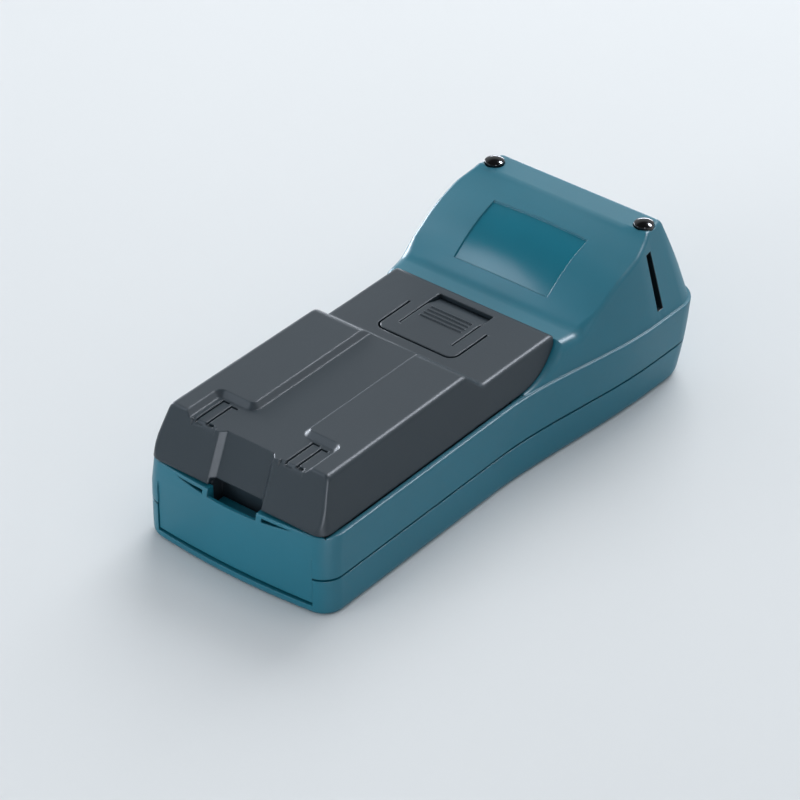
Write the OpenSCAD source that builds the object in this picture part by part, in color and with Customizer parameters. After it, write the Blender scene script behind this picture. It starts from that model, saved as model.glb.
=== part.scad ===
/* [Body] */
// Overall length of the case
body_l = 200; // [190:1:215]
// Width of the handle at its waist
handle_w = 78.2; // [76:0.2:82]
// Width of the handle at the near end
near_w = 80.4; // [79:0.2:84]
// Width of the head
head_w = 95.6; // [92:0.2:102]
// Place along the length where the handle starts to flare
flare_start = 2; // [-2:0.5:6]
// Place along the length where the head is at full width
flare_end = 72; // [66:0.5:76]
// Corner radius of the near end, seen from above
near_corner_r = 8; // [6:0.5:9]
// Corner radius of the head, seen from above
far_corner_r = 12.5; // [11:0.5:14]
// How much narrower each side of the head is at the front face than at the rim
head_tuck = 3.8; // [3:0.1:4.4]
// How far the far end draws in towards the front face
far_tuck = 3.8; // [3:0.1:4.4]
// How much fuller each side of the handle is below the rim
belly = 0.4; // [0.2:0.05:0.6]
// How far the near end bows out
near_bow = 2; // [1.7:0.1:2.4]
// Wall of both shells
shell_wall = 2.4; // [2:0.1:2.8]

/* [Front shell] */
// Height of the parting line
front_h = 14.5; // [14:0.1:16]
// Dark groove between the two shells
parting_gap = 0.9; // [0.7:0.05:1]
// Edge rounding at the front face
bottom_round = 1.8; // [1.4:0.1:2.4]
// Depth of the lap joint inside the groove
lap_h = 1.6; // [1.2:0.1:2]

/* [Rear shell] */
// Height of the rim that the battery sits over
rim_h = 30.9; // [30:0.1:32.5]
// Half width of the end panel that drops into the front shell
panel_half = 33.6; // [32:0.1:34]
// Lower edge of the end panel
panel_z = 4.4; // [4:0.1:5]
// How far the end panel bows out
panel_bow = 1.55; // [1.3:0.05:1.8]
// Depth of the end panel below the two corners beside it
panel_in = 0.5; // [0.4:0.05:0.6]
// Height where the end wall starts to lean back
lean_z = 21.2; // [20.5:0.1:22]
// How far the end wall leans back at its top
lean = 1.4; // [1.2:0.1:1.6]
// Height of the band over the two openings in the end lip
band_h = 1.1; // [0.9:0.1:1.4]
// Greatest height of the dished openings in the end lip
lip_dip = 2.1; // [1.8:0.1:2.4]
// Half width of the dish in the end lip
lip_half = 25.4; // [24:0.1:27]
// Half width of the finger opening in the end wall
mouth_half = 10.6; // [9.5:0.1:11]
// Height of the battery tray's floor
tray_z = 20; // [19.5:0.1:21]

/* [Head] */
// Height of the head's top strip
head_h = 61.4; // [59:0.1:64]
// Steepest angle of the head's sloping face
slope_deg = 40; // [38:0.5:42]
// Height of the ledge behind the battery
ledge_z = 41.9; // [41.4:0.1:42.3]
// Place along the length where the straight slope turns into the crown
crown_y = 46; // [44:0.5:47]
// Place along the length where the top strip starts
strip_y = 79; // [78:0.5:80]
// Depth of the top strip
strip_l = 11; // [10:0.1:11.5]
// Lean of the head's sides, millimetres for each millimetre of height
side_lean = 0.225; // [0.2:0.005:0.24]
// Step from the rim in to the head's side
rim_step = 1.2; // [1:0.1:1.5]
// Half width of the bare label recess
label_half = 20.7; // [18:0.1:22]
// Length of the label recess along the slope, seen from above
label_l = 23; // [20:0.5:24]
// Depth of the label recess
label_d = 0.7; // [0.5:0.1:0.9]
// How far the sloping face arches from side to side
arch = 2.6; // [2:0.1:3]
// Width of the strap slot in each side of the head
strap_w = 3.2; // [2.6:0.1:3.6]
// Height of the strap slot
strap_h = 21; // [18:0.5:22]

/* [Battery] */
// Height of the near block
pack_h = 51; // [50:0.1:52.5]
// Height of the lower far block
far_block_h = 43.9; // [43.5:0.1:44.5]
// Far end of the near block
step_y = -16.2; // [-18:0.1:-14]
// Length of the sloping step
step_l = 8.5; // [7:0.1:9.5]
// Width of the shell rim that shows beside the battery
rim_show = 2; // [1.8:0.1:2.4]
// Lean of the battery's sides
pack_lean = 0.2; // [0.18:0.01:0.22]
// Length of the leaning near face, seen from above
near_face_l = 7.9; // [7:0.1:8.5]
// Edge rounding along the top
pack_round = 2.2; // [1.6:0.1:2.6]
// Radius of the curved underside at the far end
tail_r = 27.2; // [26.5:0.1:28]
// Place along the length where that curve leaves the rim
tail_y = 8.5; // [8:0.1:9]
// Corner radius of the battery's far end, seen from above
tail_corner = 2.2; // [1.8:0.1:3]
// Gap between the battery and the shell
pack_gap = 0.5; // [0.4:0.05:0.6]
// Dark gap between the battery and the rim
pack_lift = 0.9; // [0.8:0.05:1]
// Half width of the long channel at the top
channel_half = 12; // [11.2:0.1:13]
// Depth of the channel and of the two pads
channel_d = 2; // [1.7:0.1:2.2]
// Half width of the two pads together
pad_half = 27; // [26:0.1:28]
// Far edge of the pads
pad_y = -72.5; // [-74:0.1:-71]
// Width of the fine slots
slot_w = 0.9; // [0.7:0.05:1]
// Wall of the battery case
pack_wall = 2.2; // [2:0.1:2.4]
// Diameter of a cell
cell_d = 18; // [17.5:0.1:18.4]
// Length of a cell
cell_l = 65; // [63:0.5:66]

/* [Latch] */
// Width of the latch tongue
latch_w = 22.6; // [21:0.2:24]
// Hinge line of the latch tongue
latch_y = 3; // [2:0.1:3.5]
// Length of the latch tongue
latch_l = 22; // [21.5:0.1:22.4]
// Gap round the latch tongue
latch_gap = 0.6; // [0.5:0.05:0.7]
// Thickness of the latch tongue
latch_t = 2.8; // [2.5:0.1:3]

/* [Front face] */
// Width of the display window
window_w = 62; // [56:1:66]
// Length of the display window
window_l = 42; // [38:1:44]
// Distance of the display window's middle from the far end
window_far = 44; // [43:0.5:46]
// Thickness of the display lens
lens_t = 1.4; // [1.2:0.1:1.6]
// Columns of keys
key_cols = 3; // [3:1:3]
// Rows of keys
key_rows = 4; // [4:1:4]
// Width of a key
key_w = 15; // [13:0.5:16]
// Length of a key
key_l = 11; // [10:0.5:12]
// Spacing of the columns
key_dx = 20; // [19:0.5:21]
// Spacing of the rows
key_dy = 17; // [16:0.5:18]
// Distance of the keypad's middle from the near end
keypad_near = 62; // [60:0.5:64]
// Travel of a key
key_travel = 0.7; // [0.5:0.05:0.8]
// Gap round each key
key_gap = 0.4; // [0.35:0.05:0.5]

/* [Fixings] */
// Thread diameter of the case screws
screw_d = 3; // [2.5:0.1:3.2]
// Head diameter of the case screws
screw_head_d = 5.6; // [5:0.1:6]
// Distance of the screws from the middle line
screw_x = 33; // [32.6:0.1:33.2]
// Place along the length of the near screws
near_screw_y = -82; // [-83:0.5:-80]
// Place along the length of the far screws, under the feet
far_screw_y = 82.6; // [82:0.1:83.5]
// Diameter of the rubber feet
foot_d = 7; // [6.4:0.1:7.4]
// Height of the feet above the top strip
foot_h = 1.8; // [1.4:0.1:2.2]

/* [Hidden] */
$fn = 48;
eps = 0.01;
far = 400;
fit = 0.3;
running = 0.05;
teal = "#2f6a7d";
charcoal = "#434a52";
near_y = -body_l / 2 + near_bow;
far_y = body_l / 2;
end_wall = 2.6;
bottom_rise = 3;
flare_shift = 10;
window_y = far_y - window_far;
keypad_y = keypad_near - body_l / 2;
panel_y = near_y + panel_in;
rear_z = front_h + parting_gap / 2;
front_top = front_h - parting_gap / 2;
cover_z = rim_h + pack_lift;
cover_near = near_y + lean - fit;
cover_corner = 4.5;
pocket_near = cover_near + 1.6;
base_half_in = rim_show + 1.3;
base_far = tail_y - 1.2;
base_corner = 5;
tail_z = cover_z + tail_r;
tail_top_y = tail_y + sqrt(tail_r * tail_r - pow(tail_z - far_block_h + pack_round / 2, 2));
ramp_end_y = tail_y + sqrt(pow(tail_r + pack_gap, 2) - pow(tail_z - ledge_z, 2));
ledge_end = 38.6;
slope_z = ledge_z + (crown_y - ledge_end) * tan(slope_deg);
channel_floor = pack_h - channel_d;
channel_foot = channel_half - channel_d;
pad_r = 3.2;
neck_r = 1.5;
near_lean_deg = atan(near_face_l / (pack_h - cover_z - 1));
board_z = 7;
board_t = 1.6;
board_half = screw_x - 4;
board_near = near_y + 9;
board_far = far_y - 8;
seat_x = board_half - 7;
seat_ys = [board_near + 4, window_y - window_l, board_far - 4];
board_screw_d = 2;
well_d = 1.4;
well_r = 3;
key_r = 2;
key_flange = 1.2;
key_tip = 0.5;
floor_z = shell_wall;
web_z = well_d + floor_z + 0.1;
lens_z = 0.4;
mat_z = board_z - 1;
flange_z = web_z + fit;
head_seat_z = rim_h + 3;
near_seat_z = tray_z - 1;
boss_d = screw_head_d + 1.6;
tray_floor_t = 2.2;
base_z = tray_z + pack_gap;
mouth_d = 5.5;
lip_top = rim_h - band_h;
mouth_z = lip_top - lip_dip - 4;
contact_y = base_far - 4;
contact_xs = [-12, -4, 4, 12];
cell_pitch = cell_d + 1;
cell_y = cover_near + near_face_l + 3;
cell_z = base_z + pack_wall + 4 + cell_d / 2;
latch_far = latch_y + latch_l;
nose_half = 5;
key_names = [for (r = [1:key_rows], c = [1:key_cols]) str("key_", r, "_", c)];

function clamp01(t) = min(1, max(0, t));
function smooth(t) = t * t * (3 - 2 * t);
function mix(a, b, t) = a + (b - a) * t;

// Share of the way from the rim down to the front face
function down(z) = clamp01(1 - z / rim_h);

// Half width of the case along its length, a share k of the way down from the rim: a near end that
// narrows to a waist and flares to the head, which tapers towards the front face
function half_w(y, k = 0) =
    let (start = flare_start - flare_shift * k)
    let (near_t = max(0, start - y) / (start + body_l / 2))
    let (head_t = smooth(clamp01((y - start) / (flare_end - start))))
    handle_w / 2 + belly * min(1, 2 * k) + (near_w - handle_w) / 2 * near_t
        + ((head_w - handle_w) / 2 - head_tuck * k) * head_t;

// Right half of the case outline, from the middle of the near end round to the middle of the far end
function half_outline(inset, near_in, bow, k) =
    let (r = near_corner_r, y0 = near_y + near_in, far_end = far_y - far_tuck * k * k)
    let (y2 = far_end - far_corner_r)
    let (cx = half_w(y0 + r, k) - r, turn = atan(2 * bow / cx), end_x = cx + r * sin(turn))
    let (cy = y0 + r * cos(turn), fx = half_w(y2, k) - far_corner_r, fr = far_corner_r - inset)
    concat(
        [for (i = [0:5]) let (x = end_x * i / 6) [x, y0 - bow * (1 - pow(x / end_x, 2)) + inset]],
        [for (i = [0:9])
            let (a = mix(turn - 90, 0, i / 9)) [cx + (r - inset) * cos(a), cy + (r - inset) * sin(a)]],
        [for (i = [1:24]) let (y = mix(cy, y2, i / 25)) [half_w(y, k) - inset, y]],
        [for (a = [0:9:90]) [fx + fr * cos(a), y2 + fr * sin(a)]],
        [[0, far_end - inset]]);

// Whole outline, mirrored about the middle line
function mirrored(half) = concat(half, [for (i = [len(half) - 2:-1:1]) [-half[i][0], half[i][1]]]);
function outline(inset, near_in, bow, k) = mirrored(half_outline(inset, near_in, bow, k));
function at_z(points, z) = [for (p = points) [p[0], p[1], z]];

// Solid skinned over rings that have the same number of points
module skin(rings) {
    n = len(rings[0]);
    m = len(rings);
    polyhedron(
        points = [for (r = rings) each r],
        faces = concat(
            [[for (i = [0:n - 1]) i]],
            [[for (i = [n - 1:-1:0]) (m - 1) * n + i]],
            [for (j = [0:m - 2], i = [0:n - 1])
                [j * n + i, (j + 1) * n + i, (j + 1) * n + (i + 1) % n]],
            [for (j = [0:m - 2], i = [0:n - 1])
                [j * n + i, (j + 1) * n + (i + 1) % n, j * n + (i + 1) % n]]));
}

arc_n = 5;
// Cross-section at one place along the length: leaning sides, a shoulder on each side that is rounded
// by rx across and rz in height, and a top that falls off from its middle by a curve
function section(y, half, lean_k, z0, z1, rx, rz, curve = 0, top_n = 1) =
    let (small = min(1, (z1 - z0) * 0.6 / rz), ax = rx * small, az = rz * small)
    let (edge = half - lean_k * (z1 - z0) - ax / 2, cz = z1 - curve * edge * edge - az)
    let (a0 = atan(lean_k * az / ax), a1 = 90 - atan(2 * curve * edge))
    let (cx = half - lean_k * (cz + az * sin(a0) - z0) - ax * cos(a0))
    let (side = concat([[half, z0]],
        [for (i = [0:arc_n]) let (a = mix(a0, a1, i / arc_n)) [cx + ax * cos(a), cz + az * sin(a)]]))
    let (brow = side[arc_n + 1])
    concat(
        [for (p = side) [-p[0], y, p[1]]],
        [for (j = [1:1:top_n - 1])
            let (x = brow[0] * (2 * j / top_n - 1)) [x, y, brow[1] + curve * (brow[0] * brow[0] - x * x)]],
        [for (i = [arc_n + 1:-1:0]) [side[i][0], y, side[i][1]]]);

// Shape drawn in the length and height plane, as wide as stated on both sides of the middle line
module across(half, points) {
    rotate([90, 0, 90])
        translate([0, 0, -half])
            linear_extrude(2 * half)
                polygon(points);
}

module block(x0, x1, y0, y1, z0, z1) {
    translate([x0, y0, z0])
        cube([x1 - x0, y1 - y0, z1 - z0]);
}

module rounded_bar(w, l, r, z0, z1) {
    translate([0, 0, z0])
        linear_extrude(z1 - z0)
            union() {
                square([w - 2 * r, l], center = true);
                square([w, l - 2 * r], center = true);
                for (sx = [-1, 1], sy = [-1, 1])
                    translate([sx * (w / 2 - r), sy * (l / 2 - r)])
                        circle(r);
            }
}

module at_screws() {
    for (sx = [-1, 1], y = [near_screw_y, far_screw_y])
        translate([sx * screw_x, y, 0])
            children();
}

// Places of the keys, row by row
function key_x(c) = (c - (key_cols + 1) / 2) * key_dx;
function key_y(r) = keypad_y + ((key_rows + 1) / 2 - r) * key_dy;
keypad_w = (key_cols - 1) * key_dx + key_w + 8;
keypad_l = (key_rows - 1) * key_dy + key_l + 8;

module at_seats() {
    for (sx = [-1, 1], y = seat_ys)
        translate([sx * seat_x, y, 0])
            children();
}

module front_shell() {
    lap_root = 2;
    seat_d = 6;
    edge = [for (a = [0:18:90]) [bottom_round * (1 - sin(a)), bottom_rise * (1 - cos(a))]];
    wall = [for (z = [front_top * 0.6, front_top]) [0, z]];
    color(teal) difference() {
        union() {
            difference() {
                skin([for (e = concat(edge, wall)) at_z(outline(e[0], 0, near_bow, down(e[1])), e[1])]);
                translate([0, 0, floor_z])
                    linear_extrude(far)
                        polygon(outline(shell_wall, end_wall, 0, down(floor_z)));
            }
            // Lap that stands inside the rear shell and closes the groove
            translate([0, 0, front_top - lap_root])
                linear_extrude(lap_h + parting_gap + lap_root)
                    difference() {
                        polygon(outline(shell_wall / 2 + 0.1, end_wall, 0, down(rear_z)));
                        polygon(outline(shell_wall, end_wall, 0, down(floor_z)));
                    }
            at_screws() cylinder(d = boss_d, h = front_top - fit);
            // Web round the keypad well and the seats of the circuit board
            translate([0, keypad_y, 0])
                rounded_bar(keypad_w + 2 * shell_wall, keypad_l + 2 * shell_wall, well_r + 1, 1, web_z);
            at_seats() translate([0, 0, 1]) cylinder(d = seat_d, h = board_z - 1);
        }
        // Gap that the end panel of the rear shell drops into
        block(-panel_half - fit, panel_half + fit, -body_l, near_y + end_wall + eps,
            panel_z - parting_gap, far);
        translate([0, keypad_y, 0]) rounded_bar(keypad_w, keypad_l, well_r, -1, well_d);
        for (r = [1:key_rows], c = [1:key_cols])
            translate([key_x(c), key_y(r), 0])
                rounded_bar(key_w + 2 * key_gap, key_l + 2 * key_gap, key_r + key_gap, -1, far);
        translate([0, window_y, 0]) {
            rounded_bar(window_w, window_l, well_r, -1, lens_z + lens_t);
            rounded_bar(window_w - 6, window_l - 6, well_r - 1, -1, far);
        }
        at_screws() translate([0, 0, floor_z + 1]) cylinder(d = screw_d + 2 * running, h = far);
        at_seats() translate([0, 0, floor_z]) cylinder(d = board_screw_d + 2 * running, h = far);
    }
}

module display_lens() {
    color("#20262a")
        translate([0, window_y, 0])
            rounded_bar(window_w - 2 * fit, window_l - 2 * fit, well_r - fit, lens_z, lens_z + lens_t);
}

module display_module() {
    color("#8f9a86")
        translate([0, window_y, 0])
            rounded_bar(window_w - 2, window_l - 2, 1, floor_z + fit, board_z);
}

module keypad_mat() {
    color("#6a7076")
        translate([0, keypad_y, 0])
            rounded_bar(keypad_w + 2, keypad_l + 2, well_r, mat_z, board_z);
}

module main_board() {
    color("#2c6b46") difference() {
        block(-board_half, board_half, board_near, board_far, board_z, board_z + board_t);
        at_seats() cylinder(d = board_screw_d + 2 * fit, h = far);
    }
}

module board_screws() {
    head_d = 3.8;
    head_h = 1.3;
    color("#9aa0a5") at_seats() difference() {
        union() {
            translate([0, 0, floor_z + 1]) cylinder(d = board_screw_d, h = board_z + board_t - floor_z);
            translate([0, 0, board_z + board_t]) cylinder(d = head_d, h = head_h);
        }
        for (a = [0, 90])
            translate([0, 0, board_z + board_t + head_h / 2])
                rotate(a)
                    block(-1.1, 1.1, -0.25, 0.25, 0, far);
    }
}

module key_cap(r, c) {
    color("#b9bec2")
        translate([key_x(c), key_y(r), 0])
            union() {
                rounded_bar(key_w, key_l, key_r, key_tip, flange_z + eps);
                rounded_bar(key_w + 2 * key_flange, key_l + 2 * key_flange, key_r, flange_z,
                    mat_z - key_travel - 0.1);
            }
}

// Height of the head along its length: ramp, ledge, slope, crown and top strip
crown_end_deg = 10;
crown_dz = head_h - slope_z;
strip_fall = 0.05;
function crown_z(y) =
    let (t = (y - crown_y) / (strip_y - crown_y), l = strip_y - crown_y)
    let (m0 = tan(slope_deg) * l, m1 = tan(crown_end_deg) * l)
    slope_z + m0 * t + (3 * crown_dz - 2 * m0 - m1) * t * t + (m0 + m1 - 2 * crown_dz) * t * t * t;
function ramp_z(y) = tail_z - sqrt(pow(tail_r + pack_gap, 2) - pow(y - tail_y, 2));
function head_z(y) =
    y < ramp_end_y ? ramp_z(y) :
    y < ledge_end ? ledge_z :
    y < crown_y ? ledge_z + (y - ledge_end) * tan(slope_deg) :
    y < strip_y ? crown_z(y) : head_h - (y - strip_y) * strip_fall;
strip_end = strip_y + strip_l;
wall_end = far_y - rim_step;
head_edge = head_z(strip_end);
edge_round = 1.5;
ledge_fillet = 2.2;
ledge_round = 4.5;
head_round = 2;
root_h = 1.4;
arch_half = 38;
corner_lean = 0.245;
corner_start = flare_end - 2;

// Half width of the head at the rim, with the round far corners
function head_half(y) =
    let (y2 = far_y - far_corner_r, r = far_corner_r - rim_step)
    y < y2 ? half_w(y) - rim_step : half_w(y2) - far_corner_r + sqrt(max(0.04, r * r - pow(y - y2, 2)));
function head_lean(y) = side_lean + corner_lean * max(0, y - corner_start) / (head_h - rim_h);

// Fall of the sloping face at its edges, none at the ledge and at the top strip
function head_arch(y) =
    arch * smooth(clamp01((y - ledge_end) / 12)) * sqrt(clamp01((strip_y - y) / 14));
function head_ring(y, z, r) =
    section(y, head_half(y) + head_lean(y) * root_h, head_lean(y), rim_h - root_h, z, r, r,
        head_arch(y) / (arch_half * arch_half), 8);
function fillet_z(y) =
    let (t = clamp01((y - ledge_end + ledge_fillet) / (2 * ledge_fillet)))
    ledge_z + t * t * ledge_fillet * tan(slope_deg);

module head_solid() {
    ramp = [for (i = [0:9]) let (t = i / 9, y = mix(tail_y + 1, ramp_end_y, t))
        head_ring(y, ramp_z(y), mix(1.2, ledge_round, t))];
    ledge = [for (i = [0:4]) let (y = ledge_end + ledge_fillet * (i / 2 - 1))
        head_ring(y, fillet_z(y), ledge_round)];
    slope = [for (i = [1:3]) let (t = i / 3, y = mix(ledge_end + ledge_fillet, crown_y, t))
        head_ring(y, head_z(y), mix(ledge_round, head_round, t))];
    crown = [for (i = [1:16]) let (y = mix(crown_y, strip_y, i / 16)) head_ring(y, crown_z(y), head_round)];
    strip = [for (i = [1:4]) let (y = mix(strip_y, strip_end - edge_round, i / 4))
        head_ring(y, head_z(y), head_round)];
    edge = [for (a = [18:18:72]) let (y = strip_end - edge_round * (1 - sin(a)))
        head_ring(y, head_edge - edge_round * (1 - cos(a)), head_round)];
    wall = [for (t = [0.03, 0.15, 0.3, 0.45, 0.6, 0.72, 0.82, 0.9, 0.96, 1])
        let (y = mix(strip_end, wall_end, t))
        head_ring(y, mix(head_edge - edge_round, rim_h, t), head_round)];
    skin(concat(ramp, ledge, slope, crown, strip, edge, wall));
}

// Outline of the battery's lower case, grown by a clearance for the tray
function pack_half(y) = half_w(min(y, flare_start));
function base_outline(grow, far_grow) =
    let (y0 = pocket_near + pack_gap - grow, y1 = base_far + far_grow, r = base_corner)
    mirrored(concat(
        [[0, y0]],
        [for (a = [-90:15:0])
            [pack_half(y0 + r) - base_half_in + grow - r + r * cos(a), y0 + r + r * sin(a)]],
        [for (i = [1:9]) let (y = mix(y0 + r, y1 - r, i / 10)) [pack_half(y) - base_half_in + grow, y]],
        [for (a = [0:15:90]) [pack_half(y1) - base_half_in + grow - r + r * cos(a), y1 - r + r * sin(a)]],
        [[0, y1]]));

// Bowed line of the end panel, closed at a given place along the length
function panel_area(end_y) = concat(
    [for (i = [-8:8]) [panel_half * i / 8, panel_y - panel_bow * (1 - pow(i / 8, 2))]],
    [[panel_half, end_y], [-panel_half, end_y]]);

// Bare label recess with sloping walls, following the arched slope
module label_cut() {
    label_y = crown_y - 2;
    draft = 0.25;
    brim = label_half + draft;
    n = 10;
    floor_steps = [for (i = [0:n]) [mix(draft, label_l - draft, i / n), 1]];
    skin([for (s = concat([[-draft, -1]], floor_steps, [[label_l + draft, -1]]))
        let (y = label_y + s[0], half = label_half - draft * s[1])
        let (fall = head_arch(y) / (arch_half * arch_half))
        concat(
            [for (i = [4:-1:-4]) let (x = half * i / 4) [x, y, head_z(y) - fall * x * x - label_d * s[1]]],
            [for (x = [-brim, brim]) [x, y, head_z(y) - fall * x * x + 2 * label_d]])]);
}

// Part of the end lip beside the finger opening: dished openings under a narrow band, with a web between
module lip_cut(depth_y, half, dip) {
    dish_r = (half * half + dip * dip) / (2 * dip);
    web = 2.2;
    difference() {
        translate([0, pocket_near + 1, lip_top + dish_r - dip])
            rotate([90, 0, 0])
                cylinder(r = dish_r, h = depth_y, $fn = 480);
        block(-far, far, -far, far, lip_top, far);
        for (sx = [-1, 1])
            translate([sx * (mouth_half + web / 2), 0, 0])
                block(-web / 2, web / 2, -far, far, 0, far);
    }
}

module rear_shell() {
    cavity_half = screw_x - screw_head_d;
    lip_back = cover_near - 0.7;
    lip_drop = 1.2;
    lip_end = 3;
    groove_d = 0.8;
    groove_near = cover_near + cover_corner / 2;
    groove_in = 0.15;
    rim_round = 0.7;
    head_floor = base_far + 4;
    slot_near = far_screw_y - 8;
    slot_z = rim_h + 3.6;
    color(teal) difference() {
        union() {
            skin(concat(
                [for (z = [rear_z, lean_z]) at_z(outline(0, 0, near_bow, down(z)), z)],
                [for (a = [0:30:90]) let (z = rim_h - rim_round * (1 - sin(a)))
                    at_z(outline(rim_round * (1 - cos(a)), lean, near_bow, down(z)), z)]));
            // End panel
            block(-panel_half, panel_half, near_y - near_bow, near_y + end_wall - fit, panel_z, rear_z + 1);
            head_solid();
            // Bosses that carry the rear shell on the front bosses
            at_screws() translate([0, 0, front_top]) cylinder(d = boss_d, h = tray_z - front_top - 1);
        }
        // Front of the end panel, lower than the corners beside it
        linear_extrude(far) polygon(panel_area(-body_l));
        // Tray for the battery, with a sill at the finger opening
        difference() {
            translate([0, 0, tray_z]) linear_extrude(far) polygon(base_outline(pack_gap, 2 * pack_gap));
            block(-mouth_half, mouth_half, pocket_near - 1, pocket_near + mouth_d - 2 * fit, 0, mouth_z);
        }
        // End lip, deeper behind its edge, and the finger opening in its middle
        lip_cut(body_l, lip_half, lip_dip);
        lip_cut(pocket_near + 1 - lip_back, lip_half - lip_end, lip_dip + lip_drop);
        block(-mouth_half, mouth_half, -body_l, pocket_near + 1, lip_top - eps, far);
        block(-mouth_half, mouth_half, lip_back, pocket_near + 1, mouth_z, far);
        // Groove under the battery's edge
        translate([0, 0, rim_h - groove_d])
            linear_extrude(far)
                polygon(mirrored(concat(
                    [[0, groove_near]],
                    [for (i = [0:8])
                        let (y = mix(groove_near, tail_y, i / 8)) [cover_half(y) - groove_in, y]],
                    [[0, tail_y]])));
        // Inside of the shell: lap rebate, space under the tray and hollow of the head
        difference() {
            union() {
                translate([0, 0, rear_z - 1])
                    linear_extrude(lap_h + parting_gap + 1)
                        polygon(outline(shell_wall / 2 - 0.2, end_wall - fit, 0, down(rear_z)));
                translate([0, 0, rear_z - 1])
                    linear_extrude(tray_z - tray_floor_t - rear_z + 1)
                        polygon(outline(shell_wall, end_wall, 0, down(floor_z)));
                across(cavity_half, concat(
                    [[head_floor, rear_z - 1], [head_floor, tray_z], [ledge_end, ledge_z - 8]],
                    [for (i = [0:5])
                        let (y = mix(crown_y, strip_y, i / 5)) [y + 2, crown_z(y) - shell_wall - 1.5]],
                    [[strip_end - 3, head_h - shell_wall - 2], [wall_end - 4.5, rim_h],
                        [wall_end - 4.5, rear_z - 1]]));
            }
            at_screws() cylinder(d = boss_d, h = tray_z);
        }
        label_cut();
        for (s = [0, 1])
            mirror([s, 0, 0])
                block(screw_x + 4.4, far, slot_near, slot_near + strap_w, slot_z, slot_z + strap_h);
        // Notch for the latch's nose in the ramp
        block(-nose_half - 2, nose_half + 2, latch_far - 7, latch_far + 4.6, rim_h, far);
        // Screw bores, the feet's sockets and the slots of the contact springs
        for (sx = [-1, 1]) {
            translate([sx * screw_x, far_screw_y, head_seat_z]) cylinder(d = foot_d - 1 + 2 * fit, h = far);
            translate([sx * screw_x, far_screw_y, head_h - 1]) cylinder(d = foot_d + 2 * fit, h = far);
            translate([sx * screw_x, near_screw_y, near_seat_z])
                cylinder(d = screw_head_d + 2 * fit, h = far);
        }
        at_screws() cylinder(d = screw_d + 2 * fit, h = far);
        for (x = contact_xs)
            translate([x, contact_y, tray_z - tray_floor_t - 1]) block(-1.7, 1.7, -3, 3, 0, far);
    }
}

module tray_contacts() {
    pin_h = tray_floor_t - 0.4;
    color("#c9b26a")
        for (x = contact_xs)
            translate([x, contact_y, tray_z - tray_floor_t])
                union() {
                    block(-1.4, 1.4, -2.7, 2.7, 0, pin_h);
                    translate([0, 0, pin_h])
                        rotate([0, 90, 0])
                            intersection() {
                                cylinder(r = 1.2, h = 2, center = true);
                                block(-0.6, 0, -2, 2, -2, 2);
                            }
                }
}

module case_screws() {
    tip_z = 5;
    head_d = screw_head_d - 0.6;
    color("#9aa0a5")
        for (sx = [-1, 1], s = [[near_screw_y, near_seat_z, 0.9], [far_screw_y, head_seat_z, 2.3]])
            translate([sx * screw_x, s[0], 0])
                difference() {
                    union() {
                        translate([0, 0, tip_z]) cylinder(d = screw_d, h = s[1] - tip_z + eps);
                        translate([0, 0, s[1]]) cylinder(d = head_d, h = s[2]);
                    }
                    for (a = [0, 90])
                        translate([0, 0, s[1] + 0.4]) rotate(a) block(-1.6, 1.6, -0.35, 0.35, 0, far);
                }
}

module foot() {
    seat_d = 1;
    crown = 1;
    stem_l = 7;
    disc_h = seat_d + foot_h - crown;
    dome_r = (foot_d * foot_d / 4 + crown * crown) / (2 * crown);
    color("#101214")
        translate([0, far_screw_y, head_h - seat_d])
            rotate_extrude()
                union() {
                    translate([0, -stem_l]) square([(foot_d - 1) / 2, stem_l + eps]);
                    square([foot_d / 2, disc_h]);
                    intersection() {
                        translate([0, disc_h + crown - dome_r]) circle(dome_r, $fn = 96);
                        translate([0, disc_h - eps]) square([foot_d / 2, crown + eps]);
                    }
                }
}

module foot_left() { translate([-screw_x, 0, 0]) foot(); }
module foot_right() { translate([screw_x, 0, 0]) foot(); }

module battery_base() {
    cradle_t = 5;
    color(charcoal) difference() {
        translate([0, 0, base_z]) linear_extrude(cover_z - base_z) polygon(base_outline(0, 0));
        difference() {
            translate([0, 0, base_z + pack_wall])
                linear_extrude(far)
                    polygon(base_outline(-pack_wall, -pack_wall));
            // Wall behind the finger opening
            block(-mouth_half - 3, mouth_half + 3, -far, pocket_near + mouth_d + 1.5, 0, far);
            // Cradles that carry the cells
            for (y = [cell_y + 0.18 * cell_l, cell_y + 0.74 * cell_l])
                difference() {
                    block(-far, far, y, y + cradle_t, 0, cell_z);
                    for (x = [-1, 0, 1])
                        translate([x * cell_pitch, y - 1, cell_z])
                            rotate([-90, 0, 0])
                                cylinder(d = cell_d + 2 * running, h = cradle_t + 2);
                }
        }
        // Notch at the finger opening
        block(-mouth_half - 1, mouth_half + 1, -far, pocket_near + mouth_d, 0, far);
        for (x = contact_xs)
            translate([x, contact_y, base_z - 1]) block(-2, 2, -3.2, 3.2, 0, 1.5);
    }
}

module pack_contacts() {
    color("#c9b26a")
        for (x = contact_xs)
            translate([x, contact_y, base_z]) block(-1.8, 1.8, -3, 3, 0.1, 0.5);
}

module cell(x) {
    color("#5a7f9a")
        translate([x * cell_pitch, cell_y, cell_z])
            rotate([-90, 0, 0])
                union() {
                    cylinder(d = cell_d, h = cell_l);
                    cylinder(d = cell_d / 3, h = cell_l + 1);
                }
}

module cell_left() { cell(-1); }
module cell_middle() { cell(0); }
module cell_right() { cell(1); }

// Half width of the battery cover, with rounded corners at both ends
function corner_in(r, d) = r - sqrt(max(0, r * r - d * d));
function cover_half(y) =
    pack_half(y) - rim_show - corner_in(cover_corner, max(0, cover_near + cover_corner - y))
        - corner_in(tail_corner, max(0, y - tail_top_y + tail_corner));

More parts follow.
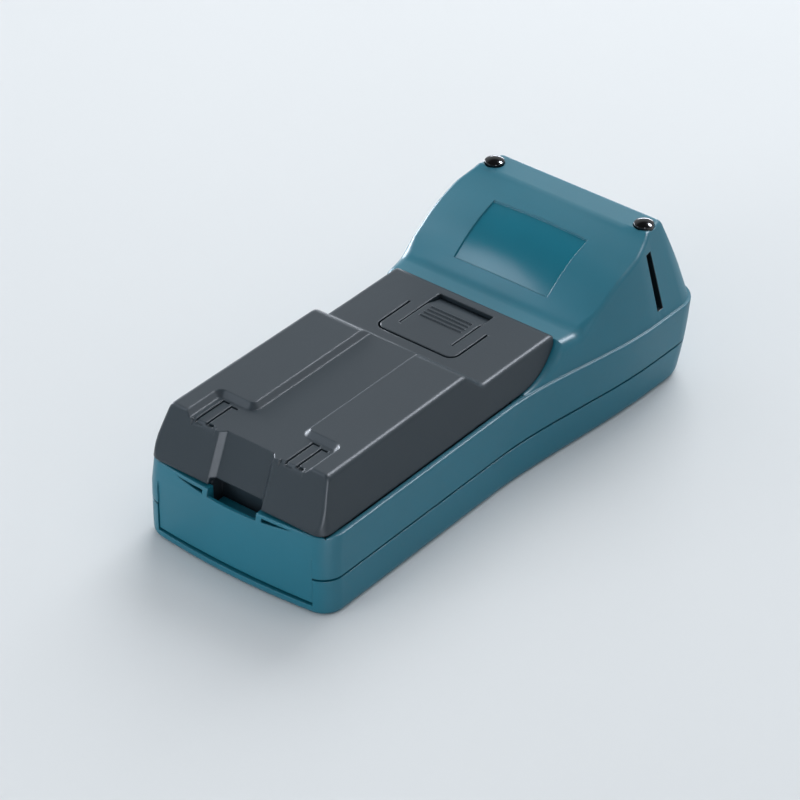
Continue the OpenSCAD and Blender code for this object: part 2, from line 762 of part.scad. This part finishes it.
// Underside of the cover: flat over the rim, then curved up over the ramp
function cover_low(y) = y <= tail_y ? cover_z : tail_z - sqrt(tail_r * tail_r - pow(y - tail_y, 2));
function cover_ring(y, z, rz = pack_round) =
    let (low = cover_low(y))
    section(y, cover_half(y) - pack_lean * (low - cover_z), pack_lean, low, z, pack_round, rz);

module cover_solid() {
    lip_z = cover_z + 1;
    face_top = cover_near + near_face_l;
    deck_y = step_y + step_l;
    tail_start = tail_top_y - 3;
    face_rz = 2 * pack_round;
    near = [for (t = [0, 0.02, 0.06, 0.12, 0.2, 0.32, 0.46, 0.62, 0.78, 0.92])
        cover_ring(cover_near + near_face_l * t, mix(lip_z, pack_h, t), face_rz)];
    brow = [for (t = [[0.97, 0.962, 0.8], [1.01, 0.985, 0.5], [1.06, 0.996, 0.2], [1.12, 1, 0]])
        cover_ring(cover_near + near_face_l * t[0], mix(lip_z, pack_h, t[1]),
            mix(pack_round, face_rz, t[2]))];
    top = [for (i = [0:5]) cover_ring(mix(face_top + 2, step_y - 2, i / 5), pack_h)];
    drop = [for (i = [1:9]) let (t = i / 10)
        cover_ring(mix(step_y - 1.4, deck_y, t), mix(pack_h, far_block_h, smooth(t)))];
    deck = [for (i = [0:10]) cover_ring(mix(deck_y, tail_start, i / 10), far_block_h)];
    tail_round = [for (t = [0.2, 0.4, 0.6, 0.75, 0.87, 0.95])
        let (y = mix(tail_start, tail_top_y - 0.1, t))
        cover_ring(y, far_block_h - pack_round / 2 * pow(t, 3))];
    skin(concat(near, brow, top, drop, deck, tail_round));
}

// Outline of the recess in the top, two pads and the channel behind them, drawn in by a sloping wall
function recess_half(in) = concat(
    [[0, -body_l], [pad_half - in, -body_l]],
    [for (a = [0:15:90])
        [pad_half - pad_r + (pad_r - in) * cos(a), pad_y - pad_r + (pad_r - in) * sin(a)]],
    [for (a = [-90:-15:-180])
        [channel_half + neck_r + (neck_r + in) * cos(a), pad_y + neck_r + (neck_r + in) * sin(a)]],
    [[channel_half - in, step_y + 3], [0, step_y + 3]]);

// Long groove with sloping walls, drawn along +Y from its floor up
module channel_cut(length) {
    rise = channel_d + 1;
    brim = channel_foot + rise;
    rotate([-90, 0, 0])
        linear_extrude(length)
            polygon([[-channel_foot, 0], [channel_foot, 0], [brim, -rise], [-brim, -rise]]);
}

// Pair of bracket-shaped slots in one pad, a long one and a shorter one beside it
module bracket_slots(x) {
    arm = 3.2;
    z = channel_floor - 1.2;
    near = cover_near + 6.6;
    for (b = [[0, near, 15.2], [4.3, near + 1.3, 13]])
        translate([x + b[0], b[1], z]) {
            block(0, slot_w, 0, b[2], 0, far);
            block(0, arm, 0, slot_w, 0, far);
            block(0, arm, b[2] - slot_w, b[2], 0, far);
        }
}

// Slot that frees the latch's spring arms: two arms joined by a rounded near end
module u_slot(z) {
    half = 17;
    near = latch_y - 6.5;
    length = 40;
    corner = 3;
    intersection() {
        translate([0, near + length / 2, 0])
            difference() {
                rounded_bar(2 * half + slot_w, length + slot_w, corner + slot_w, z, far);
                rounded_bar(2 * half - slot_w, length - slot_w, corner, z - 1, far + 1);
            }
        block(-far, far, -far, latch_y + latch_l * 0.57, z - 1, far);
    }
}

module battery_cover() {
    latch_half = latch_w / 2 + latch_gap;
    roof = far_block_h - pack_wall;
    cell_roof = channel_floor - pack_wall;
    hood_t = 1.5;
    mouth_top = cover_z + 1.9;
    mouth_far = pocket_near + mouth_d;
    bevel_x = 19;
    bevel_half = 5;
    bevel_y = cover_near + near_face_l + 0.4;
    bevel_l = 10;
    over = 0.6;
    color(charcoal) difference() {
        cover_solid();
        // Room for the cells and the latch, short of the hood over the finger opening
        difference() {
            across(pack_half(flare_start) - 7.5, concat(
                [[cover_near + 4, cover_z - 1], [cover_near + near_face_l + 1.5, cell_roof],
                    [step_y - 3, cell_roof], [step_y + step_l - 3, roof], [latch_far + 2, roof]],
                [for (t = [0.93, 0.68, 0.32, 0])
                    let (y = mix(tail_y, latch_far + 2, t)) [y, cover_low(y) + pack_wall * 0.8]],
                [[tail_y, cover_z - 1]]));
            block(-mouth_half - 2.5, mouth_half + 2.5, -far, mouth_far + hood_t, 0, mouth_top + hood_t);
        }
        block(-mouth_half - 1, mouth_half + 1, -far, mouth_far, 0, mouth_top);
        // Channel and pads in the top, and the channel down the leaning near face
        skin([for (in = [channel_d, -over]) at_z(mirrored(recess_half(in)), pack_h - in)]);
        translate([0, cover_near, cover_z + 1])
            rotate([90 - near_lean_deg, 0, 0])
                translate([0, -20, -channel_d])
                    channel_cut(100);
        bracket_slots(-bevel_x - 4);
        bracket_slots(bevel_x - 3);
        // Bevel that runs from each pad on to the near face
        for (x = [-bevel_x, bevel_x])
            translate([x, 0, 0])
                across(bevel_half, [[bevel_y, channel_floor], [bevel_y - bevel_l, channel_floor - bevel_l],
                    [bevel_y - bevel_l, pack_h + 1], [bevel_y, pack_h + 1]]);
        // Opening of the latch, the slot that frees its spring arms and the way out for its leg
        block(-latch_half, latch_half, latch_y, latch_far + latch_gap, roof - 1, far);
        u_slot(roof - 1);
        block(-nose_half - 1.5, nose_half + 1.5, latch_far - 6, latch_far + 3, cover_z - 1, roof);
    }
}

module latch_tongue() {
    half = latch_w / 2;
    under = far_block_h - latch_t;
    scoop_d = 1.6;
    scoop_l = 7;
    rib_half = 9;
    rib_w = 0.7;
    rib_pitch = 2;
    nose_z = under - 5.5;
    color(charcoal) union() {
        across(half, [[latch_y, far_block_h], [latch_y + 0.4, under], [latch_far, under],
            [latch_far, far_block_h - scoop_d], [latch_far - 1, far_block_h - scoop_d],
            [latch_far - scoop_l, far_block_h]]);
        for (i = [0:3])
            translate([0, latch_far - scoop_l - 7 + rib_pitch * i, 0])
                block(-rib_half, rib_half, 0, rib_w, far_block_h - eps, far_block_h + 0.35);
        // Leg and nose under the tongue
        block(-nose_half, nose_half, latch_far - 2.5, latch_far - 0.3, nose_z, under + eps);
        across(nose_half, [[latch_far - 0.4, nose_z], [latch_far + 1.2, nose_z],
            [latch_far + 1.2, nose_z + 0.8], [latch_far - 0.4, nose_z + 2.1]]);
    }
}

front_shell();
display_lens();
display_module();
keypad_mat();
main_board();
board_screws();
rear_shell();
tray_contacts();
case_screws();
foot_left();
foot_right();
battery_base();
pack_contacts();
cell_left();
cell_middle();
cell_right();
battery_cover();
latch_tongue();
for (r = [1:key_rows], c = [1:key_cols])
    key_cap(r, c);
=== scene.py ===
import math

import bpy
from mathutils import Matrix, Vector


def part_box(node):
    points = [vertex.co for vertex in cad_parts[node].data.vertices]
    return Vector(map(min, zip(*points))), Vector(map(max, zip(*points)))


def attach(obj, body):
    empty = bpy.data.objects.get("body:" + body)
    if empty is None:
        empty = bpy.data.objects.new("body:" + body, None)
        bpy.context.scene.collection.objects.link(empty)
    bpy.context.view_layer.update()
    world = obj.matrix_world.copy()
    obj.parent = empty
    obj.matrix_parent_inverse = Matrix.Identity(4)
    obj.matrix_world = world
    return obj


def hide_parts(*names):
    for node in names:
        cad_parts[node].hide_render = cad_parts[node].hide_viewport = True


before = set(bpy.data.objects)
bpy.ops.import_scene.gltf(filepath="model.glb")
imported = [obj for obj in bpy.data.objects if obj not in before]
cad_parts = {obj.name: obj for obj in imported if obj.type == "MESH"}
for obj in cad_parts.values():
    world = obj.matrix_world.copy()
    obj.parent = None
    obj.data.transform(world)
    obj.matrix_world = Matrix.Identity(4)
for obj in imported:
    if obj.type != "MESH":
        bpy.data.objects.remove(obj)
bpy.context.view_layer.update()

# Front shell: the lower half of the case and the face that it lies on. It is injection moulded
# in teal ABS, holds the circuit board on six seats and meets the rear shell in a lap joint.
MM = 0.001
TEAL = "#13687c"


def linear(hex_colour):
    """Linear RGBA of an sRGB hex colour."""
    parts = [int(hex_colour[i:i + 2], 16) / 255 for i in (1, 3, 5)]
    return [p / 12.92 if p <= 0.04045 else ((p + 0.055) / 1.055) ** 2.4 for p in parts] + [1.0]


def add_node(owner, kind, links=None, values=None, **settings):
    """Adds one shader node, sets its properties and socket values, and links its inputs."""
    node = owner.node_tree.nodes.new(kind)
    for name, value in settings.items():
        setattr(node, name, value)
    for name, value in (values or {}).items():
        node.inputs[name].default_value = value
    for name, source in (links or {}).items():
        owner.node_tree.links.new(source, node.inputs[name])
    return node


def new_material(name):
    """Empty node material, its output node and the place on the object that its patterns use."""
    material = bpy.data.materials.new(name)
    material.use_nodes = True
    material.node_tree.nodes.clear()
    output = add_node(material, "ShaderNodeOutputMaterial")
    place = add_node(material, "ShaderNodeTexCoord", name="place")
    return material, output, place.outputs["Object"]


def moulded(name, colour, grain_mm, grain_height_mm, roughness, edge_mm, specular=0.4):
    """Moulded plastic or rubber: a nearly even colour, a fine pitted skin and softly broken edges.

    The pits of a spark-eroded mould are too fine to show, so the grain is drawn coarser than it is.
    """
    cloud_mm, tint_spread, gloss_spread = 30, 0.05, 0.07
    material, output, place = new_material(name)
    grain = add_node(material, "ShaderNodeTexNoise", {"Vector": place},
                     {"Scale": 1 / (grain_mm * MM), "Detail": 2.0, "Roughness": 0.55})
    cloud = add_node(material, "ShaderNodeTexNoise", {"Vector": place},
                     {"Scale": 1 / (cloud_mm * MM), "Detail": 3.0})
    tint = add_node(material, "ShaderNodeValToRGB", {"Fac": cloud.outputs["Fac"]}, name="tint")
    shade = linear(colour)[:3]
    tint.color_ramp.elements[0].position = 0.3
    tint.color_ramp.elements[0].color = [c * (1 - tint_spread) for c in shade] + [1]
    tint.color_ramp.elements[1].position = 0.7
    tint.color_ramp.elements[1].color = [c * (1 + tint_spread) for c in shade] + [1]
    gloss = add_node(material, "ShaderNodeMapRange", {"Value": grain.outputs["Fac"]},
                     {"To Min": roughness - gloss_spread, "To Max": roughness + gloss_spread},
                     name="gloss")
    edge = add_node(material, "ShaderNodeBevel", None, {"Radius": edge_mm * MM}, samples=6, name="edge")
    pits = add_node(material, "ShaderNodeBump",
                    {"Height": grain.outputs["Fac"], "Normal": edge.outputs["Normal"]},
                    {"Strength": 1.0, "Distance": grain_height_mm * MM}, name="pits")
    skin = add_node(material, "ShaderNodeBsdfPrincipled",
                    {"Base Color": tint.outputs["Color"], "Roughness": gloss.outputs["Result"],
                     "Normal": pits.outputs["Normal"]},
                    {"IOR": 1.54, "Specular IOR Level": specular}, name="skin")
    material.node_tree.links.new(skin.outputs["BSDF"], output.inputs["Surface"])
    return material


def moulded_copy(node, body, material):
    """Puts a copy of a solid in its stead, with triangles merged and round faces shaded smooth."""
    merge = 0.002 * MM
    flat = math.radians(0.3)
    crease = math.radians(28)
    piece = bpy.data.objects.new(node + "_moulding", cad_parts[node].data.copy())
    bpy.context.scene.collection.objects.link(piece)
    bpy.ops.object.select_all(action="DESELECT")
    piece.select_set(True)
    bpy.context.view_layer.objects.active = piece
    bpy.ops.object.mode_set(mode="EDIT")
    bpy.ops.mesh.select_all(action="SELECT")
    bpy.ops.mesh.remove_doubles(threshold=merge)
    bpy.ops.mesh.customdata_custom_splitnormals_clear()
    bpy.ops.mesh.dissolve_limited(angle_limit=flat)
    bpy.ops.object.mode_set(mode="OBJECT")
    bpy.ops.object.shade_smooth_by_angle(angle=crease)
    weights = piece.modifiers.new("normals", "WEIGHTED_NORMAL")
    weights.keep_sharp = True
    bpy.ops.object.modifier_apply(modifier=weights.name)
    piece.data.materials.clear()
    piece.data.materials.append(material)
    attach(piece, body)
    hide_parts(node)


# ABS from a spark-eroded mould: satin, so that broad faces show a soft sheen and edges a bright line.
teal_abs = moulded("teal_moulded_abs", TEAL, grain_mm=0.35, grain_height_mm=0.01, roughness=0.4,
                   edge_mm=0.45)
moulded_copy("front_shell", "case", teal_abs)

# Display: a liquid-crystal module on the board, seen through a clear acrylic window with a black
# printed border. The window is bonded into its seat in the front shell.
WINDOW_BORDER = 6 * MM
SCREEN_MARGIN = 2 * MM
PIXEL = 0.5 * MM
PIXEL_GAP = 0.03 * MM


def finish(nodes, material):
    """Gives one material to solids that keep their shape."""
    for node in nodes:
        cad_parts[node].data.materials.clear()
        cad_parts[node].data.materials.append(material)


def box_mask(material, place, middle, half):
    """One inside a box, nought outside it. The box has no end along an axis with a half size of 0."""
    axes = add_node(material, "ShaderNodeSeparateXYZ", {"Vector": place})
    mask = None
    for axis in [axis for axis in range(3) if half[axis] > 0]:
        shift = add_node(material, "ShaderNodeMath", {0: axes.outputs[axis]}, {1: middle[axis]},
                         operation="SUBTRACT")
        reach = add_node(material, "ShaderNodeMath", {0: shift.outputs[0]}, operation="ABSOLUTE")
        inside = add_node(material, "ShaderNodeMath", {0: reach.outputs[0]}, {1: half[axis]},
                          operation="LESS_THAN")
        if mask:
            inside = add_node(material, "ShaderNodeMath", {0: mask, 1: inside.outputs[0]},
                              operation="MULTIPLY")
        mask = inside.outputs[0]
    return mask


low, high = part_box("display_lens")
window_middle = (low + high) / 2
window_half = (high - low) / 2 - Vector((WINDOW_BORDER, WINDOW_BORDER, 0))
window_half.z = 0
# Cast acrylic: clear and glossy with a trace of haze. The border is black ink behind the gloss.
acrylic, acrylic_out, place = new_material("clear_acrylic_black_border")
clear = box_mask(acrylic, place, window_middle, window_half)
haze = add_node(acrylic, "ShaderNodeTexNoise", {"Vector": place}, {"Scale": 1 / (12 * MM), "Detail": 3.0})
polish = add_node(acrylic, "ShaderNodeMapRange", {"Value": haze.outputs["Fac"]},
                  {"To Min": 0.04, "To Max": 0.1})
border = add_node(acrylic, "ShaderNodeMix", {"Factor": clear},
                  {"A": linear("#0b0d0f"), "B": linear("#e9efee")}, data_type="RGBA")
window = add_node(acrylic, "ShaderNodeBsdfPrincipled",
                  {"Base Color": border.outputs["Result"], "Transmission Weight": clear,
                   "Roughness": polish.outputs["Result"]}, {"IOR": 1.49})
acrylic.node_tree.links.new(window.outputs["BSDF"], acrylic_out.inputs["Surface"])
finish(["display_lens"], acrylic)

# Liquid-crystal glass, switched off: a grey-green field with a faint grid of pixels in a dark frame.
glass, glass_out, place = new_material("liquid_crystal_glass")
active = box_mask(glass, place, window_middle, window_half - Vector((SCREEN_MARGIN, SCREEN_MARGIN, 0)))
dots = add_node(glass, "ShaderNodeTexBrick", {"Vector": place},
                {"Scale": 1.0, "Brick Width": PIXEL, "Row Height": PIXEL, "Mortar Size": PIXEL_GAP,
                 "Color1": linear("#8e9b86"), "Color2": linear("#8a9782"), "Mortar": linear("#818e7a")},
                offset=0.0)
field = add_node(glass, "ShaderNodeMix", {"Factor": active, "B": dots.outputs["Color"]},
                 {"A": linear("#2a2e30")}, data_type="RGBA")
screen = add_node(glass, "ShaderNodeBsdfPrincipled", {"Base Color": field.outputs["Result"]},
                  {"Roughness": 0.35})
glass.node_tree.links.new(screen.outputs["BSDF"], glass_out.inputs["Surface"])
finish(["display_module"], glass)

# Keypad: twelve light grey ABS keys on a dark silicone mat that springs them back. Each key has a
# printed digit, thin ink on its face.
LEGENDS = ["1", "2", "3", "4", "5", "6", "7", "8", "9", "00", "0", "."]
LEGEND_HEIGHT = 5.2 * MM
INK_THICKNESS = 0.03 * MM
ROWS, COLUMNS = 4, 3
# Silicone is matt and dark, key ABS is a smooth satin, and printed ink lies flat and dull.
silicone = moulded("dark_silicone_rubber", "#2b2f33", grain_mm=0.6, grain_height_mm=0.006, roughness=0.6,
                   edge_mm=0.2)
key_abs = moulded("light_grey_key_abs", "#b4babf", grain_mm=0.3, grain_height_mm=0.006, roughness=0.38,
                  edge_mm=0.4)
legend_ink = moulded("dark_legend_ink", "#23292e", grain_mm=0.2, grain_height_mm=0.002, roughness=0.5,
                     edge_mm=0.02)
finish(["keypad_mat"], silicone)
for row in range(1, ROWS + 1):
    for column in range(1, COLUMNS + 1):
        key = "key_%d_%d" % (row, column)
        finish([key], key_abs)
        low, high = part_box(key)
        bpy.ops.object.select_all(action="DESELECT")
        bpy.ops.object.text_add(location=((low.x + high.x) / 2, (low.y + high.y) / 2, low.z),
                                rotation=(0, math.pi, 0))
        legend = bpy.context.object
        legend.name = "legend_%d_%d" % (row, column)
        legend.data.body = LEGENDS[COLUMNS * row - column]
        legend.data.align_x = "CENTER"
        legend.data.align_y = "CENTER"
        legend.data.size = LEGEND_HEIGHT
        legend.data.extrude = INK_THICKNESS
        legend.data.resolution_u = 3
        bpy.ops.object.convert(target="MESH")
        bpy.ops.object.transform_apply(location=True, rotation=True, scale=True)
        legend.data.materials.clear()
        legend.data.materials.append(legend_ink)
        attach(legend, key)

# Circuit board: green glass-fibre laminate with tracks under the solder mask. Six plated steel
# screws hold it on the front shell's seats.
TRACK_PITCH = 4 * MM
TRACK_EDGE_IN = 0.06
TRACK_EDGE_OUT = 0.1
# Solder mask is a glossy green lacquer, lighter where copper lies under it. A track's edge is given
# as shares of the pitch.
laminate, laminate_out, place = new_material("green_solder_mask_laminate")
tracks = add_node(laminate, "ShaderNodeTexVoronoi", {"Vector": place}, {"Scale": 1 / TRACK_PITCH},
                  feature="DISTANCE_TO_EDGE")
copper = add_node(laminate, "ShaderNodeValToRGB", {"Fac": tracks.outputs["Distance"]})
copper.color_ramp.elements[0].position = TRACK_EDGE_IN
copper.color_ramp.elements[0].color = linear("#4f9a68")
copper.color_ramp.elements[1].position = TRACK_EDGE_OUT
copper.color_ramp.elements[1].color = linear("#2c6b46")
lacquer = add_node(laminate, "ShaderNodeBsdfPrincipled", {"Base Color": copper.outputs["Color"]},
                   {"Roughness": 0.3})
laminate.node_tree.links.new(lacquer.outputs["BSDF"], laminate_out.inputs["Surface"])
finish(["main_board"], laminate)


def plated_metal(name, colour, roughness):
    """Plated metal, bright with the faint mottle of a tumbled surface."""
    mottle_mm, mottle_height_mm, gloss_spread = 0.8, 0.004, 0.08
    material, output, place = new_material(name)
    mottle = add_node(material, "ShaderNodeTexNoise", {"Vector": place},
                      {"Scale": 1 / (mottle_mm * MM), "Detail": 3.0})
    gloss = add_node(material, "ShaderNodeMapRange", {"Value": mottle.outputs["Fac"]},
                     {"To Min": roughness - gloss_spread, "To Max": roughness + gloss_spread})
    bump = add_node(material, "ShaderNodeBump", {"Height": mottle.outputs["Fac"]},
                    {"Distance": mottle_height_mm * MM})
    skin = add_node(material, "ShaderNodeBsdfPrincipled",
                    {"Roughness": gloss.outputs["Result"], "Normal": bump.outputs["Normal"]},
                    {"Base Color": linear(colour), "Metallic": 1.0})
    material.node_tree.links.new(skin.outputs["BSDF"], output.inputs["Surface"])
    return material


# Zinc plate on steel: a bright, cool grey.
zinc_plate = plated_metal("zinc_plated_steel", "#b3b7ba", roughness=0.32)
finish(["board_screws"], zinc_plate)

# Rear shell: the upper half of the case, one teal ABS moulding with the tray for the battery,
# the dished end lip and the raised head. Four screws hold it down on the front shell's bosses.
LABEL_LOW = Vector((-20.6, 44.1, 0)) * MM
LABEL_HIGH = Vector((20.6, 66.9, 0)) * MM
LABEL_ROUGHNESS = 0.2
SLOT_MIDDLE = Vector((0, 76.2, 45)) * MM
SLOT_OUTER_HALF = Vector((60, 1.65, 10.55)) * MM
SLOT_FLOOR_HALF = Vector((37.35, 1.65, 10.55)) * MM
# The same satin ABS, but the mould was polished at the label seat, which shows a clear sheen. The
# throats of the two strap slots have painted shade: a near black colour for the shade deep in them.
rear_abs = moulded("teal_moulded_abs_polished_label_seat_painted_slot_shade", TEAL, grain_mm=0.35, grain_height_mm=0.01,
                   roughness=0.4, edge_mm=0.45)
rear_nodes = rear_abs.node_tree.nodes
place = rear_nodes["place"].outputs["Object"]
seat = box_mask(rear_abs, place, (LABEL_LOW + LABEL_HIGH) / 2, (LABEL_HIGH - LABEL_LOW) / 2)
polish = add_node(rear_abs, "ShaderNodeMix", {"Factor": seat, "A": rear_nodes["gloss"].outputs["Result"]},
                  {"B": LABEL_ROUGHNESS}, data_type="FLOAT")
rear_abs.node_tree.links.new(polish.outputs["Result"], rear_nodes["skin"].inputs["Roughness"])
# Painted shade: two boxes at the head's sides, less the middle, colour the strap slot throats near black.
outer = box_mask(rear_abs, place, SLOT_MIDDLE, SLOT_OUTER_HALF)
between = box_mask(rear_abs, place, SLOT_MIDDLE, SLOT_FLOOR_HALF)
painted_slot_shade = add_node(rear_abs, "ShaderNodeMath", {0: outer, 1: between}, operation="SUBTRACT")
slot_shade_paint = add_node(rear_abs, "ShaderNodeMix",
                  {"Factor": painted_slot_shade.outputs[0], "A": rear_nodes["tint"].outputs["Color"]},
                  {"B": linear("#071c22")}, data_type="RGBA")
rear_abs.node_tree.links.new(slot_shade_paint.outputs["Result"], rear_nodes["skin"].inputs["Base Color"])
moulded_copy("rear_shell", "case", rear_abs)
# Gold flash on brass: a bright, warm yellow.
gold_flash = plated_metal("gold_flashed_brass", "#d0ab5e", roughness=0.28)
finish(["tray_contacts"], gold_flash)
finish(["case_screws"], zinc_plate)

# Feet: two black rubber buttons, compression moulded in a polished mould, so they are glossy. They
# are pressed into sockets over the head's screws.
rubber = moulded("black_moulded_rubber", "#060607", grain_mm=0.8, grain_height_mm=0.002, roughness=0.12,
                 edge_mm=0.3)
finish(["foot_left", "foot_right"], rubber)

# Battery pack: a charcoal ABS base and cover, welded together round three film-wrapped cells. The
# cover has the finger channel, two pads and the moulded arms of the latch tongue.
CHARCOAL = "#232f37"
BEND_INSET = 0.8 * MM
BEND_REACH = 1 * MM
FILM_END = 2 * MM
FILM_EDGE = 0.2 * MM
# A coarser, duller ABS skin than the case has. Its edges stay plain where the tongue bends out of the
# cover, because both are one moulding there.
charcoal_abs = moulded("charcoal_moulded_abs", CHARCOAL, grain_mm=0.45, grain_height_mm=0.02,
                       roughness=0.45, edge_mm=0.8, specular=0.33)
charcoal_nodes = charcoal_abs.node_tree.nodes
low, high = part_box("latch_tongue")
bend = box_mask(charcoal_abs, charcoal_nodes["place"].outputs["Object"],
                (0, low.y, 0), (high.x - BEND_INSET, BEND_REACH, 0))
surface = add_node(charcoal_abs, "ShaderNodeNewGeometry")
level = add_node(charcoal_abs, "ShaderNodeMix",
                 {"Factor": bend, "A": charcoal_nodes["edge"].outputs["Normal"],
                  "B": surface.outputs["Normal"]}, data_type="VECTOR")
charcoal_abs.node_tree.links.new(level.outputs["Result"], charcoal_nodes["pits"].inputs["Normal"])
moulded_copy("battery_base", "battery", charcoal_abs)
finish(["pack_contacts"], gold_flash)
# Shrink film: a glossy blue skin with slight crinkles, which leaves the steel bare at the far end.
low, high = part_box("cell_middle")
wrap, wrap_out, place = new_material("shrink_film_on_steel_cell")
along = add_node(wrap, "ShaderNodeSeparateXYZ", {"Vector": place})
bare = add_node(wrap, "ShaderNodeMapRange", {"Value": along.outputs["Y"]},
                {"From Min": high.y - FILM_END - FILM_EDGE, "From Max": high.y - FILM_END})
crinkle = add_node(wrap, "ShaderNodeTexNoise", {"Vector": place}, {"Scale": 1 / (3 * MM), "Detail": 2.0})
ripple = add_node(wrap, "ShaderNodeBump", {"Height": crinkle.outputs["Fac"]}, {"Distance": 0.05 * MM})
film_colour = add_node(wrap, "ShaderNodeMix", {"Factor": bare.outputs["Result"]},
                       {"A": linear("#4d7896"), "B": linear("#b9bcbe")}, data_type="RGBA")
film = add_node(wrap, "ShaderNodeBsdfPrincipled",
                {"Base Color": film_colour.outputs["Result"], "Metallic": bare.outputs["Result"],
                 "Normal": ripple.outputs["Normal"]}, {"Roughness": 0.3})
wrap.node_tree.links.new(film.outputs["BSDF"], wrap_out.inputs["Surface"])
finish(["cell_left", "cell_middle", "cell_right"], wrap)
moulded_copy("battery_cover", "battery", charcoal_abs)
moulded_copy("latch_tongue", "latch", charcoal_abs)

# Studio: a pale paper floor inside a light tent, which the gloss shows bright towards the horizon and
# dark overhead. Three broad lamps light the case, and five softboxes are seen only in its gloss.
FLOOR_SIZE = 12.0
FLOOR_DROP = 0.2 * MM
bpy.ops.object.select_all(action="DESELECT")
bpy.ops.mesh.primitive_plane_add(size=FLOOR_SIZE, location=(0, 0, -FLOOR_DROP))
floor = bpy.context.object
floor.name = "floor"
# Uncoated paper: matt, with a faint cloudiness.
paper, paper_out, place = new_material("pale_paper_sweep")
cloudiness = add_node(paper, "ShaderNodeTexNoise", {"Vector": place},
                      {"Scale": 1 / (250 * MM), "Detail": 2.0})
sheet = add_node(paper, "ShaderNodeMix", {"Factor": cloudiness.outputs["Fac"]},
                 {"A": linear("#d6dadd"), "B": linear("#dadee1")}, data_type="RGBA")
paper_skin = add_node(paper, "ShaderNodeBsdfPrincipled", {"Base Color": sheet.outputs["Result"]},
                      {"Roughness": 0.9, "Specular IOR Level": 0.2})
paper.node_tree.links.new(paper_skin.outputs["BSDF"], paper_out.inputs["Surface"])
floor.data.materials.append(paper)

# The tent's strength on matt faces, and what the gloss sees of it low down and high up. The two heights
# in between are sines of the angle above the horizon.
TENT_DIFFUSE = 0.55
TENT_LOW = 0.8
TENT_HIGH = 0.12
BRIGHT_UP_TO = 0.6
DARK_FROM = 0.8
world = bpy.data.worlds.new("studio")
bpy.context.scene.world = world
world.use_nodes = True
sky = add_node(world, "ShaderNodeTexCoord")
height = add_node(world, "ShaderNodeSeparateXYZ", {"Vector": sky.outputs["Generated"]})
mirrored = add_node(world, "ShaderNodeMapRange", {"Value": height.outputs["Z"]},
                    {"From Min": BRIGHT_UP_TO, "From Max": DARK_FROM,
                     "To Min": TENT_LOW, "To Max": TENT_HIGH},
                    interpolation_type="SMOOTHSTEP")
rays = add_node(world, "ShaderNodeLightPath")
strength = add_node(world, "ShaderNodeMix",
                    {"Factor": rays.outputs["Is Glossy Ray"], "B": mirrored.outputs["Result"]},
                    {"A": TENT_DIFFUSE}, data_type="FLOAT")
background = world.node_tree.nodes["Background"]
background.inputs["Color"].default_value = linear("#f2f6fa")
world.node_tree.links.new(strength.outputs["Result"], background.inputs["Strength"])

WHITE = "#ffffff"
COOL = "#edf4ff"
AIM = Vector((0, 0, 30)) * MM


def add_lamp(name, place, size, watts, colour, in_gloss):
    """Rectangular lamp aimed at the case from a place in metres. It lights it, or shows only in its gloss."""
    lamp = bpy.data.lights.new(name, "AREA")
    lamp.shape = "RECTANGLE"
    lamp.size, lamp.size_y = size
    lamp.energy = watts
    lamp.color = linear(colour)[:3]
    holder = bpy.data.objects.new(name, lamp)
    holder.location = place
    holder.rotation_euler = (AIM - Vector(place)).to_track_quat("-Z", "Y").to_euler()
    holder.visible_diffuse = not in_gloss
    holder.visible_glossy = in_gloss
    bpy.context.scene.collection.objects.link(holder)


# Light from the far left, a low fill on the near end and a fill from above.
add_lamp("key_lamp", (-0.55, 1.42, 1.25), (1.3, 1.3), 27, WHITE, in_gloss=False)
add_lamp("near_lamp", (-0.7, -1.65, 0.33), (1.0, 0.6), 11, WHITE, in_gloss=False)
add_lamp("top_lamp", (0.5, 0.5, 1.85), (1.2, 1.2), 6, WHITE, in_gloss=False)
# Lines on the long edges, upright corners, label's right edge and battery's step, then the label's glow.
add_lamp("far_softbox", (0.24, 1.26, 1.53), (0.45, 0.4), 54, COOL, in_gloss=True)
add_lamp("low_softbox", (1.3, -1.0, 0.25), (0.5, 0.4), 24, COOL, in_gloss=True)
add_lamp("left_softbox", (-1.9, 0.3, 0.4), (0.9, 0.6), 60, COOL, in_gloss=True)
add_lamp("back_softbox", (-1.0, 1.66, 0.08), (0.9, 0.14), 7, COOL, in_gloss=True)
add_lamp("near_softbox", (-1.18, -1.0, 1.4), (0.9, 0.9), 12.5, COOL, in_gloss=True)

# Camera: the photograph's view, from above the near end and to its right, through a long lens. Its
# place and turns were fitted to the straight edges of the case.
CAMERA_PLACE = Vector((0.8060, -0.9808, 0.9027))
AZIMUTH_DEG = 39.73
ELEVATION_DEG = 34.87
ROLL_DEG = -0.655
camera = bpy.data.cameras.new("camera")
camera.lens = 202.2
camera.sensor_width = 36
camera.clip_end = 20
holder = bpy.data.objects.new("camera", camera)
holder.matrix_world = (Matrix.Translation(CAMERA_PLACE)
                       @ Matrix.Rotation(math.radians(AZIMUTH_DEG), 4, "Z")
                       @ Matrix.Rotation(math.radians(90 - ELEVATION_DEG), 4, "X")
                       @ Matrix.Rotation(math.radians(ROLL_DEG), 4, "Z"))
bpy.context.scene.collection.objects.link(holder)
bpy.context.scene.camera = holder
bpy.context.scene.view_settings.view_transform = "Standard"
